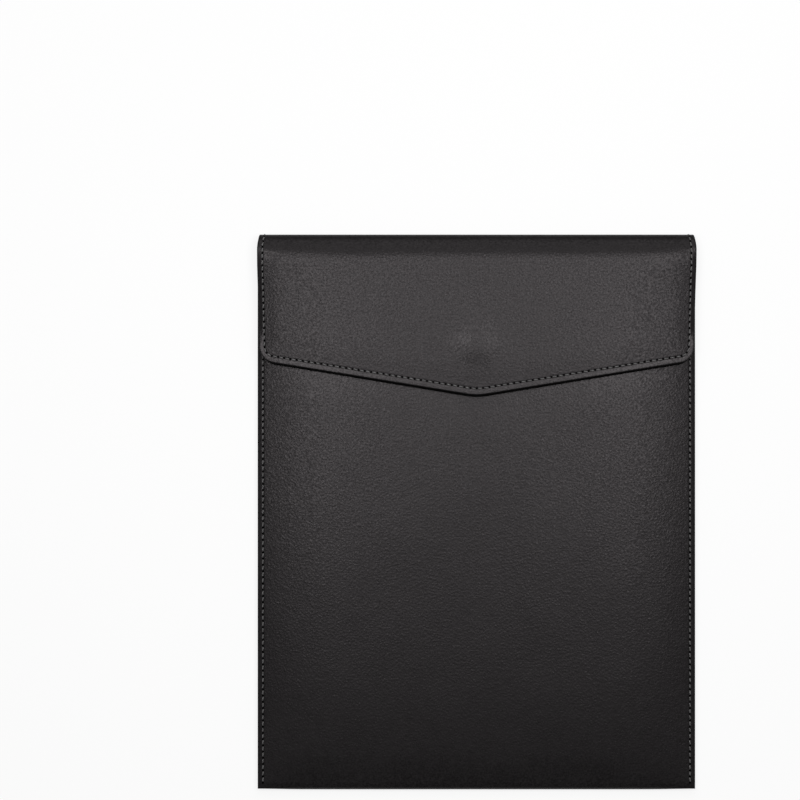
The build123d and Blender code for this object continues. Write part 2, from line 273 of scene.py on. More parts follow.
def new_object(name, vertices, faces, edge=0.0, rub=0.0, sharp=()):
    """A smooth mesh that stores each point's place at rest, in millimetres, for the textures.

    edge is 1 on a cut edge, and rub where use has smoothed the leather. sharp lists the edges where
    it joins other sheets, which keep the shading of the faces apart.
    """
    mesh = bpy.data.meshes.new(name)
    points = np.asarray(vertices, float)
    mesh.from_pydata((points * MM).tolist(), [], faces)
    mesh.polygons.foreach_set("use_smooth", [True] * len(mesh.polygons))
    if len(sharp):
        apart = {(min(a, b), max(a, b)) for a, b in sharp}
        for e in mesh.edges:
            e.use_edge_sharp = tuple(sorted(e.vertices)) in apart
    layer = mesh.attributes.new("rest", "FLOAT_VECTOR", "POINT")
    layer.data.foreach_set("vector", points.astype(np.float32).ravel())
    for key, values in (("edge", edge), ("rub", rub)):
        layer = mesh.attributes.new(key, "FLOAT", "POINT")
        layer.data.foreach_set("value", np.broadcast_to(values, len(points)).astype(np.float32))
    obj = bpy.data.objects.new(name, mesh)
    bpy.context.scene.collection.objects.link(obj)
    return obj


def sheet_object(name, outer, inner, edge=0.0, joins=(), rub=0.0):
    """A closed sheet from two grids of points, [column, station, xyz].

    joins names the ends, start or end of the stations, that meet another sheet.
    """
    outer, inner = np.array(outer), np.array(inner)
    n, m = outer.shape[:2]
    vertices = np.concatenate([outer.reshape(-1, 3), inner.reshape(-1, 3)])

    def out(c, s):
        return c * m + s

    def ins(c, s):
        return n * m + c * m + s

    faces = []
    for c in range(n - 1):
        for s in range(m - 1):
            faces.append((out(c, s), out(c, s + 1), out(c + 1, s + 1), out(c + 1, s)))
            faces.append((ins(c, s), ins(c + 1, s), ins(c + 1, s + 1), ins(c, s + 1)))
    for s in range(m - 1):
        faces.append((out(0, s), ins(0, s), ins(0, s + 1), out(0, s + 1)))
        faces.append((out(n - 1, s), out(n - 1, s + 1), ins(n - 1, s + 1), ins(n - 1, s)))
    for c in range(n - 1):
        faces.append((out(c, 0), out(c + 1, 0), ins(c + 1, 0), ins(c, 0)))
        faces.append((out(c, m - 1), ins(c, m - 1), ins(c + 1, m - 1), out(c + 1, m - 1)))
    sharp = []
    for s in [{"start": 0, "end": m - 1}[end] for end in joins]:
        for c in range(n - 1):
            sharp += [(out(c, s), out(c + 1, s)), (ins(c, s), ins(c + 1, s))]
        sharp += [(out(0, s), ins(0, s)), (out(n - 1, s), ins(n - 1, s))]
    edge, rub = [np.tile(np.broadcast_to(v, (n, m)).ravel(), 2) for v in (edge, rub)]
    return new_object(name, vertices, faces, edge, rub, sharp)


def cut_edge_fade(r):
    """1 on a cut edge, fading out beside it."""
    return 1 - ramp(r / 0.9)


def strip(inset, path, thickness, depth, valley=None):
    """Grids of a strip's two faces. path(x) gives stations as (y, z, outward y, outward z)."""
    outer, inner, edge = [], [], []
    for x in columns(inset):
        y, z, ny, nz = path(x)
        r = HALF - abs(x)
        back = rounding(r - inset, depth)
        dent = back + (valley(r) if valley else 0.0)
        ones = drawn_in(np.full_like(y, x), np.maximum(y, ROOT_Y))
        outer.append(np.stack([ones, y - ny * dent, z - nz * dent], 1))
        under = thickness - back * INNER_SHARE
        inner.append(np.stack([ones, y - ny * under, z - nz * under], 1))
        edge.append(np.full_like(y, cut_edge_fade(r - inset)))
    return outer, inner, edge


# Leather of the pocket: front panel, bottom fold and back in one piece

LIP = np.array(ROUND_STEPS + [1.4, 2.2, 3.2, 4.5, 6.0, 8.0, 10.0])
FRONT_ROWS = np.linspace(0, 1, 66)[1:]
BEND = np.radians(np.linspace(90, -90, 25))
BACK_ROWS = np.linspace(FOLD_Y, ROOT_Y, 62)[1:]


def front_stations(x, inset):
    lip = mouth(x) - inset - LIP
    return np.concatenate([lip, lip[-1] + FRONT_ROWS * (FOLD_Y - lip[-1])])


def line(x, y, z):
    """Points at one x."""
    return np.stack([np.full(len(y), x), y, z], 1)


def wrapped(x, y, z, foot, reach):
    """A line round the pocket: the front panel's y and z, the bottom fold, and the back at foot."""
    slope = (z[-2] - z[-1]) / (y[-2] - y[-1])  # the panel runs on into the fold with its slope
    centre, half = (z[-1] + foot) / 2, (z[-1] - foot) / 2
    out, up = np.cos(BEND[1:]), np.sin(BEND[1:])
    fold_z = centre + half * up - slope * reach * out * np.clip(up, 0, 1)
    return line(x, np.concatenate([y, FOLD_Y - reach * out, BACK_ROWS]),
                np.concatenate([z, fold_z, np.full(len(BACK_ROWS), foot)]))


def pocket_leather():
    outer, inner, edge, rub = [], [], [], []
    for x in columns(0.0):
        r = HALF - abs(x)
        y = front_stations(x, 0.0)
        back = rounding(r, EDGE_DEPTH)
        rim = np.maximum(back, rounding(mouth(x) - y, EDGE_DEPTH))
        dent = sewn(r) + skived(r)
        top = front_top(x, y)
        foot = back_lift(x)
        reach = TOP + FOLD_Y - 0.5 * ramp((abs(x) - 98) / 22)
        outer.append(wrapped(x, y, top - rim - dent, foot + back + dent, reach))
        inner.append(wrapped(x, y, top - LEATHER + rim * INNER_SHARE,
                             foot + LEATHER - back * INNER_SHARE, reach - LEATHER))
        cut_edge_share = np.full(len(outer[-1]), cut_edge_fade(r))
        cut_edge_share[:len(y)] = np.maximum(cut_edge_share[:len(y)], cut_edge_fade(mouth(x) - y))
        edge.append(cut_edge_share)
        smooth = 0 * cut_edge_share
        smooth[:len(y)] = 0.6 * bell(point_distance(x, y) / 11) * (1 - flange_share(x))
        rub.append(smooth)
    return sheet_object("pocket_leather", outer, inner, edge, ["end"], rub)


# Leather and lining of the fold

def settle(y):
    """1 where the back still lifts to the side seams, 0 at the crease."""
    return 1 - ramp((y - 143) / 10)


def lower_path(x):
    """The fold's lower half, from the back round the crease to half way up the spine."""
    back = np.linspace(ROOT_Y, TOP - CREASE, 16)
    turn = np.radians(np.linspace(0, 90, 13))[1:]
    rise = np.linspace(CREASE, MID_Z, 6)[1:]
    y = np.concatenate([back, TOP - CREASE + CREASE * np.sin(turn), np.full(len(rise), TOP)])
    z = np.concatenate([back_lift(x) * settle(back), CREASE - CREASE * np.cos(turn), rise])
    ny = np.concatenate([0 * back, np.sin(turn), np.ones(len(rise))])
    nz = np.concatenate([-np.ones(len(back)), -np.cos(turn), 0 * rise])
    return y, z, ny, nz


def upper_path(x):
    """The fold's upper half, from there round the soft fold to the flap."""
    rise = np.linspace(MID_Z, FLAP_Z - FOLD_B, 4)
    turn = np.radians(np.linspace(0, 90, 27))[1:]
    flat = np.linspace(TOP - FOLD_A, ROOT_Y, 8)[1:]
    r = HALF - abs(x)
    ny = np.concatenate([np.ones(len(rise)), np.cos(turn) / FOLD_A, 0 * flat])
    nz = np.concatenate([0 * rise, np.sin(turn) / FOLD_B, np.ones(len(flat))])
    length = np.hypot(ny, nz)
    ny, nz = ny / length, nz / length
    y = np.concatenate([np.full(len(rise), TOP), TOP - FOLD_A + FOLD_A * np.cos(turn), flat])
    z = np.concatenate([rise, FLAP_Z - FOLD_B + FOLD_B * np.sin(turn), np.full(len(flat), FLAP_Z)])
    low = FLAP_Z - flap_top(x, y, r)
    return y - ny * low, z - nz * low, ny, nz


def fold_leather(name, path):
    grids = strip(0.0, path, LEATHER, EDGE_DEPTH, sewn)
    return sheet_object(name, *grids, ["start", "end"])


LINING_INSET = 0.5
POCKET_LINING_INSET = 3.2
LINING_EDGE = 0.12      # depth of the lining's rounded edges


def fold_lining(name, path, joins):
    grids = strip(LINING_INSET, path, LINING, LINING_EDGE)
    return sheet_object(name, *grids, joins)


def lower_lining_path(x):
    """Under the lower leather, and over the board until the crease."""
    y, z, ny, nz = lower_path(x)
    over_board = BOARD * (1 - lift_share(x)) * ramp((147.2 - y) / 4)
    down = LEATHER + np.where(nz < -0.99, over_board, 0.0)
    return y - ny * down, z - nz * down, ny, nz


def upper_lining_path(x):
    """Under the upper leather, as far as the facing covers it."""
    y, z, ny, nz = upper_path(x)
    keep = y > 145.0
    y, z, ny, nz = y[keep], z[keep], ny[keep], nz[keep]
    return y - ny * LEATHER, z - nz * LEATHER, ny, nz


def pocket_lining():
    outer, inner, edge = [], [], []
    for x in columns(POCKET_LINING_INSET):
        r = HALF - abs(x) - POCKET_LINING_INSET
        y = front_stations(x, LINING_INSET)
        back = rounding(r, LINING_EDGE)
        rim = np.maximum(back, rounding(mouth(x) - LINING_INSET - y, LINING_EDGE))
        room = BOARD * (1 - flange_share(x))
        near = near_mouth(x, y)
        top = front_top(x, y) - LEATHER - room * (1 - near) - 0.05 * near
        foot = back_lift(x) + LEATHER + BOARD * (1 - lift_share(x))
        reach = TOP + FOLD_Y - LEATHER - BOARD
        outer.append(wrapped(x, y, top - rim, foot + back, reach))
        inner.append(wrapped(x, y, top - LINING + rim, foot + LINING - back, reach - LINING))
        edge.append(np.full(len(outer[-1]), cut_edge_fade(r)))
    return sheet_object("pocket_lining", outer, inner, edge, ["end"])


def front_stiffener():
    """Board of the front panel, bent with it."""
    outer, inner = [], []
    for x in np.linspace(-92, 92, 47):
        y = np.linspace(float(mouth(x)) - 6.0, FOLD_Y + 1.0, 60)
        high = front_top(x, y) - LEATHER
        outer.append(line(x, y, high))
        inner.append(line(x, y, high - BOARD * (1 - flange_share(x))))
    return sheet_object("front_stiffener", outer, inner)


# Flap: rings that follow its outline, round a grid

CORNER_RADIUS, POINT_RADIUS = 9.0, 36.0
SIDE_STEPS, CORNER_STEPS, RUN_STEPS, TIP_STEPS = 9, 6, 22, 8


def flap_ring(r, root_y, rows):
    """One line round the flap, from the root down the left side, round the point and up the right.

    The number that comes with it counts the points to the middle of the first corner.
    """
    deep = r * POINT_STITCH_INSET / STITCH_INSET
    tilt = math.atan(POINT_SLOPE)
    side_x = HALF - r
    point_y = POINT_Y + deep * math.hypot(1, POINT_SLOPE)
    corner_y = point_y + POINT_SLOPE * side_x
    corner, point = CORNER_RADIUS - deep, POINT_RADIUS - deep
    reach = corner * math.tan((math.pi / 2 - tilt) / 2)
    near = point * math.tan(tilt)
    start_y = corner_y + reach
    side = [(side_x, root_y - d) for d in rows]
    last = side[-1][1]
    side += [(side_x, last + (start_y - last) * i / SIDE_STEPS) for i in range(1, SIDE_STEPS + 1)]
    centre = (side_x - corner, start_y)
    arc = [(centre[0] + corner * math.cos(a), centre[1] + corner * math.sin(a))
           for a in np.linspace(0, -(math.pi / 2 - tilt), CORNER_STEPS + 1)[1:]]
    end_x = near * math.cos(tilt)
    run_x, run_y = end_x - arc[-1][0], point_y + POINT_SLOPE * end_x - arc[-1][1]
    run = [(arc[-1][0] + run_x * i / RUN_STEPS, arc[-1][1] + run_y * i / RUN_STEPS)
           for i in range(1, RUN_STEPS + 1)]
    top_y = point_y + point / math.cos(tilt)
    tip = [(point * math.sin(a), top_y - point * math.cos(a))
           for a in np.linspace(tilt, 0, TIP_STEPS + 1)[1:]]
    right = np.array(side + arc + run + tip)
    left = right[:-1] * [-1, 1]
    return np.concatenate([left, right[::-1]]), len(side) + CORNER_STEPS // 2


def flap_grid(rs, root_y, rows):
    """The flap as rings and an inner grid: x, y, distance from the edge, faces, rim and root."""
    rings, corner = [], 0
    for r in rs:
        ring, corner = flap_ring(r, root_y, rows)
        rings.append(ring)
    count = len(rings[0])
    xy = np.concatenate(rings)
    far = np.concatenate([np.full(count, r) for r in rs])
    index = np.arange(len(xy)).reshape(len(rs), count)
    faces = []
    for k in range(len(rs) - 1):
        for u in range(count - 1):
            faces.append((index[k, u], index[k, u + 1], index[k + 1, u + 1], index[k + 1, u]))
    last = rings[-1]
    left, bottom = last[:corner], last[corner - 1:count - corner + 1]
    right = last[count - corner:][::-1]
    across = len(bottom)
    u = np.linspace(0, 1, across)[None, :, None]
    v = np.linspace(0, 1, corner)[:, None, None]
    top = np.stack([np.linspace(left[0, 0], right[0, 0], across), np.full(across, root_y)], 1)
    grid = ((1 - v) * top[None] + v * bottom[None] + (1 - u) * left[:, None] + u * right[:, None]
            - (1 - u) * (1 - v) * left[0] - u * (1 - v) * right[0]
            - (1 - u) * v * bottom[0] - u * v * bottom[-1])
    number = np.full((corner, across), -1)
    number[:, 0] = index[-1, :corner]
    number[:, -1] = index[-1, count - corner:][::-1]
    number[-1, :] = index[-1, corner - 1:count - corner + 1]
    inner = number < 0
    number[inner] = len(xy) + np.arange(inner.sum())
    xy = np.concatenate([xy, grid[inner]])
    deep = point_distance(*grid[inner].T) * STITCH_INSET / POINT_STITCH_INSET
    far = np.concatenate([far, np.maximum(np.minimum(HALF - np.abs(grid[inner][:, 0]), deep), rs[-1])])
    for i in range(corner - 1):
        for j in range(across - 1):
            faces.append((number[i, j], number[i + 1, j], number[i + 1, j + 1], number[i, j + 1]))
    root = np.concatenate([index[:, 0], number[0, 1:-1], index[::-1, -1]])
    return xy[:, 0], xy[:, 1], far, np.array(faces).tolist(), index[0].tolist(), root.tolist()


def flap_object(name, x, y, shape, high, low, edge=0.0, rub=0.0, joined=False):
    """A closed flap sheet; joined tells that its root meets another sheet."""
    faces, rim, root = shape
    n = len(x)
    vertices = np.concatenate([np.column_stack([x, y, high]), np.column_stack([x, y, low])])
    pairs = list(zip(root[:-1], root[1:]))
    faces = (faces + [[i + n for i in reversed(f)] for f in faces]
             + [(a, a + n, b + n, b) for a, b in zip(rim[:-1], rim[1:])]
             + [(a, b, b + n, a + n) for a, b in pairs])
    sharp = []
    if joined:
        sharp = pairs + [(a + n, b + n) for a, b in pairs]
        sharp += [(e, e + n) for e in (root[0], root[-1])]
    edge, rub = [np.tile(np.broadcast_to(v, n), 2) for v in (edge, rub)]
    return new_object(name, vertices, faces, edge, rub, sharp)


FLAP_ROWS = [0.0, 4.0, 8.0, 12.0, 16.0, 20.0]
GAP = 0.03              # air between the layers of the flap
MIN_BOARD = 0.06        # the board is no thinner than this


def flap_leather():
    x, y, r, *shape = flap_grid(EDGE_INSETS, ROOT_Y, FLAP_ROWS)
    back = rounding(r, EDGE_DEPTH)
    top = flap_top(x, y, r)
    return flap_object("flap_leather_sheet", drawn_in(x, y), y, shape, top - back - sewn(r),
                       top - LEATHER + back * INNER_SHARE, cut_edge_fade(r), flap_rub(x, y, r), True)


FACING_INSET = -0.7     # the facing's painted edge stands out below the outer leather's; its near-black bead also stands for the shadow line under the flap, partly painted shadow
FACING_ROWS = ROUND_STEPS + [1.4, 2.2, 3.2, 5.0, 8.0, 12.0, 16.0, 20.0, 25.0, 30.0]


def facing_rise(y, r):
    """How far the facing draws up to the outer leather at its edges, less the fall of its sides."""
    falling = 0.44 * ramp((STITCH_INSET + 0.5 - r) / 3.5) * ramp((y - 94) / 12)
    return 0.72 * ramp((14 - r) / 11) - falling


def facing_under(x, y, r):
    """Inside of the flap."""
    u = np.clip((y - TOP + FOLD_A) / FOLD_A, 0, 0.9)
    fold_inside = FLAP_Z - FOLD_B + FOLD_B * np.sqrt(1 - u * u)
    fold_inside = fold_inside - LEATHER * np.hypot(1, FOLD_B / FOLD_A * u)
    level = FACING_Z - flap_sag(x, y) + facing_rise(y, r)
    hinge = fold_inside - flap_sag(x, y) - flap_pinch(r, y) - LINING - GAP - LEATHER
    return level + (hinge - level) * ramp((y - 143.4) / 3.8)


def flap_facing():
    x, y, r, *shape = flap_grid(drawn_insets(FACING_INSET), FACING_Y, FACING_ROWS)
    back = np.maximum(rounding(r - FACING_INSET, EDGE_DEPTH), rounding(FACING_Y - y, EDGE_DEPTH))
    under = facing_under(x, y, r)
    # where the facing's edge takes the near-black paint that is partly painted shadow
    cut_edge_share = np.maximum(ramp((0.5 - r) / 0.4), cut_edge_fade(FACING_Y - y))
    across = drawn_in(x, np.minimum(y, ROOT_Y)) * (HALF - 0.35) / (HALF - FACING_INSET)
    return flap_object("flap_facing_sheet", across, y, shape, under + LEATHER - back,
                       under + back * INNER_SHARE + sewn(r), cut_edge_share)


def flap_stiffener():
    """Board of the flap, thinned towards its edges."""
    x, y, r, *shape = flap_grid([5.2, 5.6, 6.0], 140.0, FLAP_ROWS)
    rise = facing_rise(y, r)
    low = FACING_Z + LEATHER - flap_sag(x, y) + GAP + rise
    thick = np.maximum(BOARD - 2 * GAP - rise - flap_pinch(r, y), MIN_BOARD)
    return flap_object("flap_stiffener", drawn_in(x, y), y, shape, low + thick, low)


# Stitches

PITCH = 3.5             # one needle hole to the next
SEAM_SLANT, FLAP_SLANT = 0.12, 0.14  # turn of a stitch against its row
STITCH_SHARE = 0.35     # half a stitch's length, as a share of the pitch
THREAD_RADIUS = 0.375
THREAD_RISE, THREAD_SINK = 0.34, 0.16  # arch of a stitch, and depth of its ends
THREAD_TAPER, THREAD_FLAT = 0.35, 0.85
TURN_SPREAD, RADIUS_SPREAD = 0.03, 0.014
THREAD_RINGS, THREAD_SIDES = 9, 8
HOLE_SIDES = 12
HOLE_ACROSS, HOLE_ALONG = 0.62, 0.68
HOLE_RINGS = ((1.0, -0.02), (0.92, 0.11), (0.45, 0.13))  # share of the hole's size, and height
VALLEY = float(sewn(np.array(STITCH_INSET)))  # depth at which the thread lies


def add_tube(faces, base, rings, sides):
    """Adds the faces of a tube whose points start at base, with a cap at each end."""
    for k in range(rings - 1):
        for j in range(sides):
            a, b = base + k * sides + j, base + k * sides + (j + 1) % sides
            faces.append((a, b, b + sides, a + sides))
    faces.append(tuple(base + j for j in reversed(range(sides))))
    faces.append(tuple(base + (rings - 1) * sides + j for j in range(sides)))


def thread_row(points, normals, slant, vertices, faces, holes):
    """Adds stitches along a line of points, and the needle holes between them."""
    points, normals = np.asarray(points, float), np.asarray(normals, float)
    steps = np.linalg.norm(np.diff(points, axis=0), axis=1)
    along = np.concatenate([[0], np.cumsum(steps)])
    count = max(1, int(round(along[-1] / PITCH)))
    step = along[-1] / count

    def at(s):
        p = np.array([np.interp(s, along, points[:, i]) for i in range(3)])
        n = np.array([np.interp(s, along, normals[:, i]) for i in range(3)])
        return p, n / np.linalg.norm(n)

    def heading(s, reach):
        d = at(s + reach)[0] - at(s - reach)[0]
        return d / np.linalg.norm(d)

    rng = np.random.default_rng(int(abs(points[0]).sum() * 10) + len(points))
    for i in range(count):
        mid = (i + 0.5) * step
        half = step * STITCH_SHARE
        turn = slant + rng.normal(0, TURN_SPREAD)
        size = THREAD_RADIUS + rng.normal(0, RADIUS_SPREAD)
        base = len(vertices)
        for t in np.linspace(-1, 1, THREAD_RINGS):
            p, n = at(mid + t * half)
            side = np.cross(n, heading(mid + t * half, 0.05))
            side /= np.linalg.norm(side)
            rise = THREAD_RISE * (1 - t ** 4) - THREAD_SINK
            centre = p + side * math.tan(turn) * t * half + n * rise
            wide = size * (1 - THREAD_TAPER * abs(t) ** 6)
            vertices.extend(centre + side * wide * math.cos(a) + n * wide * THREAD_FLAT * math.sin(a)
                            for a in np.linspace(0, math.tau, THREAD_SIDES, endpoint=False))
        add_tube(faces, base, THREAD_RINGS, THREAD_SIDES)
    for i in range(count + 1):
        holes.append((*at(i * step), heading(i * step, 0.2)))


def stitched(name, rows):
    """One piece from rows of (points, normals, slant); its needle holes are near-black discs of
    painted shade, which take the second material.
    """
    vertices, faces, holes = [], [], []
    for row in rows:
        thread_row(*row, vertices, faces, holes)
    threads = len(faces)
    # each needle hole is a dark disc of painted shade
    for p, n, along in holes:
        across = np.cross(along, n)
        across /= np.linalg.norm(across)
        base = len(vertices)
        for reach, lift in HOLE_RINGS:
            vertices.extend(p + n * lift + (across * HOLE_ACROSS * math.cos(a)
                                            + along * HOLE_ALONG * math.sin(a)) * reach
                            for a in np.linspace(0, math.tau, HOLE_SIDES, endpoint=False))
        add_tube(faces, base, len(HOLE_RINGS), HOLE_SIDES)
    obj = new_object(name, np.array(vertices), faces)
    obj.data.polygons.foreach_set("material_index", [0] * threads + [1] * (len(faces) - threads))
    return obj


def seam_row(side, ys, height, up):
    """A stitch row along a side seam, on a face whose height is given by x and y."""
    x = HALF - STITCH_INSET
    slope = height(x + 0.5, ys) - height(x - 0.5, ys)
    points = line(side * x, ys, height(x, ys) - up * VALLEY)
    return points, up * np.stack([-side * slope, 0 * ys, 1 + 0 * ys], 1), SEAM_SLANT * side


def flap_row(root_y, stations, height, up, slant):
    """A stitch row round the flap, on a face whose height is given by x, y and the edge's distance."""
    lines = []
    for r in (STITCH_INSET - 0.5, STITCH_INSET, STITCH_INSET + 0.5):
        x, y = flap_ring(r, root_y, stations)[0].T
        high = height(x, y, np.full(len(x), r))
        lines.append(np.column_stack([drawn_in(x, np.minimum(y, ROOT_Y)), y, high]))
    outer, middle, inner = lines
    normals = np.cross(np.gradient(middle, axis=0), inner - outer)
    normals *= up * np.sign(normals[:, 2:]) / np.linalg.norm(normals, axis=1, keepdims=True)
    return middle - [0, 0, up * VALLEY], normals, slant


def fold_row(side, path, down):
    """Points and outward directions of a row along the fold, at a depth below its outer face."""
    x = side * (HALF - STITCH_INSET)
    y, z, ny, nz = path(x)
    across = drawn_in(np.full_like(y, x), np.maximum(y, ROOT_Y))
    return np.stack([across, y - ny * down, z - nz * down], 1), np.stack([0 * y, ny, nz], 1)


def pocket_rows(side):
    front, back = [np.linspace(FOLD_Y - 0.6, end, 80) for end in (MOUTH_Y - 0.8, ROOT_Y)]
    return [seam_row(side, front, front_top, 1),
            seam_row(side, back, lambda x, y: back_lift(x) + 0 * y, -1)]


def lower_rows(side):
    points, normals = fold_row(side, lower_path, LEATHER + LINING)
    past_mouth = points[:, 1] > MOUTH_Y - 0.4
    keep = past_mouth | (points[:, 2] > 4.0)
    keep[:int(np.argmax(past_mouth))] = False
    return [(*fold_row(side, lower_path, VALLEY), SEAM_SLANT * side),
            (points[keep], -normals[keep], SEAM_SLANT * side)]


def upper_rows(side):
    points, normals = fold_row(side, upper_path, LEATHER + LINING)
    keep = points[:, 1] > FACING_Y
    return [(*fold_row(side, upper_path, VALLEY), SEAM_SLANT * side),
            (points[keep], -normals[keep], SEAM_SLANT * side)]


def flap_rows():
    return [flap_row(ROOT_Y, FLAP_ROWS, flap_top, 1, -FLAP_SLANT),
            flap_row(FACING_Y - 0.6, FACING_ROWS[4:], facing_under, -1, FLAP_SLANT)]


# Snap

def lathe(name, profile, looped, steps=72):
    """A turned piece about the snap's axis, from (radius, height) pairs; capped if not looped."""
    rings = len(profile)
    turns = np.linspace(0, math.tau, steps, endpoint=False)
    vertices = [(r * math.cos(a), SNAP_Y + r * math.sin(a), z) for r, z in profile for a in turns]
    faces = []
    for k in range(rings if looped else rings - 1):
        low, high = k * steps, (k + 1) % rings * steps
        for j in range(steps):
            i = (j + 1) % steps
            faces.append((low + j, high + j, high + i, low + i))
    if not looped:
        faces.append(tuple(range(steps)))
        faces.append(tuple((rings - 1) * steps + j for j in reversed(range(steps))))
    return new_object(name, np.array(vertices), faces)


STUD = [(6.6, 11.30), (6.92, 11.29), (7.0, 11.24), (6.98, 11.18), (6.9, 11.12), (6.7, 11.05),
        (6.4, 10.99), (6.0, 10.94), (5.5, 10.90), (5.1, 10.87), (4.75, 10.85), (4.6, 10.87),
        (4.5, 10.93), (4.35, 11.06), (4.2, 11.13), (3.95, 11.13), (3.8, 11.06), (3.65, 10.93),
        (3.55, 10.87), (3.4, 10.85), (2.9, 10.84), (2.66, 10.80), (2.54, 10.68), (2.5, 10.5),
        (2.5, 10.05), (2.46, 9.90), (2.36, 9.78), (2.15, 9.70), (1.85, 9.66), (1.55, 9.65),
        (1.45, 9.68), (1.3, 9.76), (1.1, 9.80), (0.8, 9.78), (0.4, 9.765), (0.05, 9.76)]
SOCKET = [(6.7, 9.20), (6.7, 10.30), (6.6, 10.40), (3.26, 10.40), (3.2, 10.38), (3.2, 9.96),
          (3.1, 9.92), (2.94, 9.94), (2.9, 10.0), (2.9, 10.36), (2.92, 10.48), (3.02, 10.58),
          (3.2, 10.65), (3.5, 10.69), (3.8, 10.70), (4.05, 10.68), (4.2, 10.60), (4.35, 10.49),
          (4.5, 10.44), (4.7, 10.44), (4.85, 10.49), (5.0, 10.60), (5.15, 10.66), (5.35, 10.66),
          (5.7, 10.62), (6.15, 10.55), (6.55, 10.46), (6.82, 10.37), (6.95, 10.28), (7.0, 10.16),
          (7.0, 9.35), (6.98, 9.20)]


# Materials

def plug(tree, socket, value):
    """Links a socket to another one, or sets it where the value is a constant."""
    if isinstance(value, bpy.types.NodeSocket):
        tree.links.new(value, socket)
    else:
        socket.default_value = value


def feed(tree, made, **settings):
    """Plugs a node's sockets, with _ for the space in a name, and sets its properties."""
    for key, value in settings.items():
        socket = made.inputs.get(key.replace("_", " "))
        if socket is None:
            setattr(made, key, value)
        else:
            plug(tree, socket, value)


def node(tree, kind, **settings):
    made = tree.nodes.new(kind)
    feed(tree, made, **settings)
    return made


def material(name, **settings):
    made = bpy.data.materials.new(name)
    made.use_nodes = True
    tree = made.node_tree
    shader = tree.nodes["Principled BSDF"]
    feed(tree, shader, **settings)
    return made, tree, shader


def stored(tree, key):
    """The node that reads a value stored by new_object."""
    return node(tree, "ShaderNodeAttribute", attribute_name=key)


def rest_place(tree):
    """Place on a piece at rest, in millimetres."""
    return stored(tree, "rest").outputs["Vector"]


def solid_place(tree):
    """Place on one of the CAD nodes, which store no rest place, in millimetres."""
    place = node(tree, "ShaderNodeTexCoord").outputs["Object"]
    return node(tree, "ShaderNodeVectorMath", operation="SCALE", Scale=1 / MM,
                Vector=place).outputs["Vector"]


def mottle(tree, place, **settings):
    """Value of a noise texture."""
    return node(tree, "ShaderNodeTexNoise", Vector=place, **settings).outputs["Fac"]


def bands(tree, place, **settings):
    """Value of a wave texture."""
    return node(tree, "ShaderNodeTexWave", Vector=place, **settings).outputs["Fac"]


def levels(tree, value, low, high, to_low=0.0, to_high=1.0):
    """Maps a value from one range to another."""
    return node(tree, "ShaderNodeMapRange", Value=value, From_Min=low, From_Max=high,
                To_Min=to_low, To_Max=to_high).outputs["Result"]


def maths(tree, kind, first, second):
    made = node(tree, "ShaderNodeMath", operation=kind)
    plug(tree, made.inputs[0], first)
    plug(tree, made.inputs[1], second)
    return made.outputs["Value"]


def weighted(tree, *terms):
    """Sum of values, each times its weight."""
    total = None
    for value, weight in terms:
        part = maths(tree, "MULTIPLY", value, weight)
        total = maths(tree, "ADD", total, part) if total else part
    return total


def blend_colours(tree, share, first, second):
    """A mix of two colours, given as tuples or sockets."""
    made = node(tree, "ShaderNodeMix", data_type="RGBA", Factor=share)
    sockets = [s for s in made.inputs if s.type == "RGBA"]
    for socket, value in zip(sockets, (first, second)):
        plug(tree, socket, (*value, 1.0) if isinstance(value, tuple) else value)
    return [s for s in made.outputs if s.type == "RGBA"][0]


def colour(tree, shader, share, first, second):
    """Gives the shader a blend of two colours."""
    feed(tree, shader, Base_Color=blend_colours(tree, share, first, second))


NOISE_LOW, NOISE_HIGH = 0.3, 0.7  # most of a noise texture's values lie between these


def roughness(tree, shader, value, low, high):
    """Gives the shader a roughness from low to high by a noise value."""
    feed(tree, shader, Roughness=levels(tree, value, NOISE_LOW, NOISE_HIGH, low, high))


def bump(tree, shader, height, distance, strength):
    made = node(tree, "ShaderNodeBump", Strength=strength, Distance=distance, Height=height)
    feed(tree, shader, Normal=made.outputs["Normal"])


GRAIN = 0.75            # grain cells to the millimetre
GRAIN_BEND = (1.1, 1.1, 1.1)  # how far the cells are pulled out of shape
LEATHER_SMOOTH, LEATHER_ROUGH = 0.20, 0.40
LEATHER_TINT = (1.0, 0.93, 0.955, 1.0)
PAINT_SHARE = 0.25      # tone of a cut edge's paint, as a share of the leather's dark tone


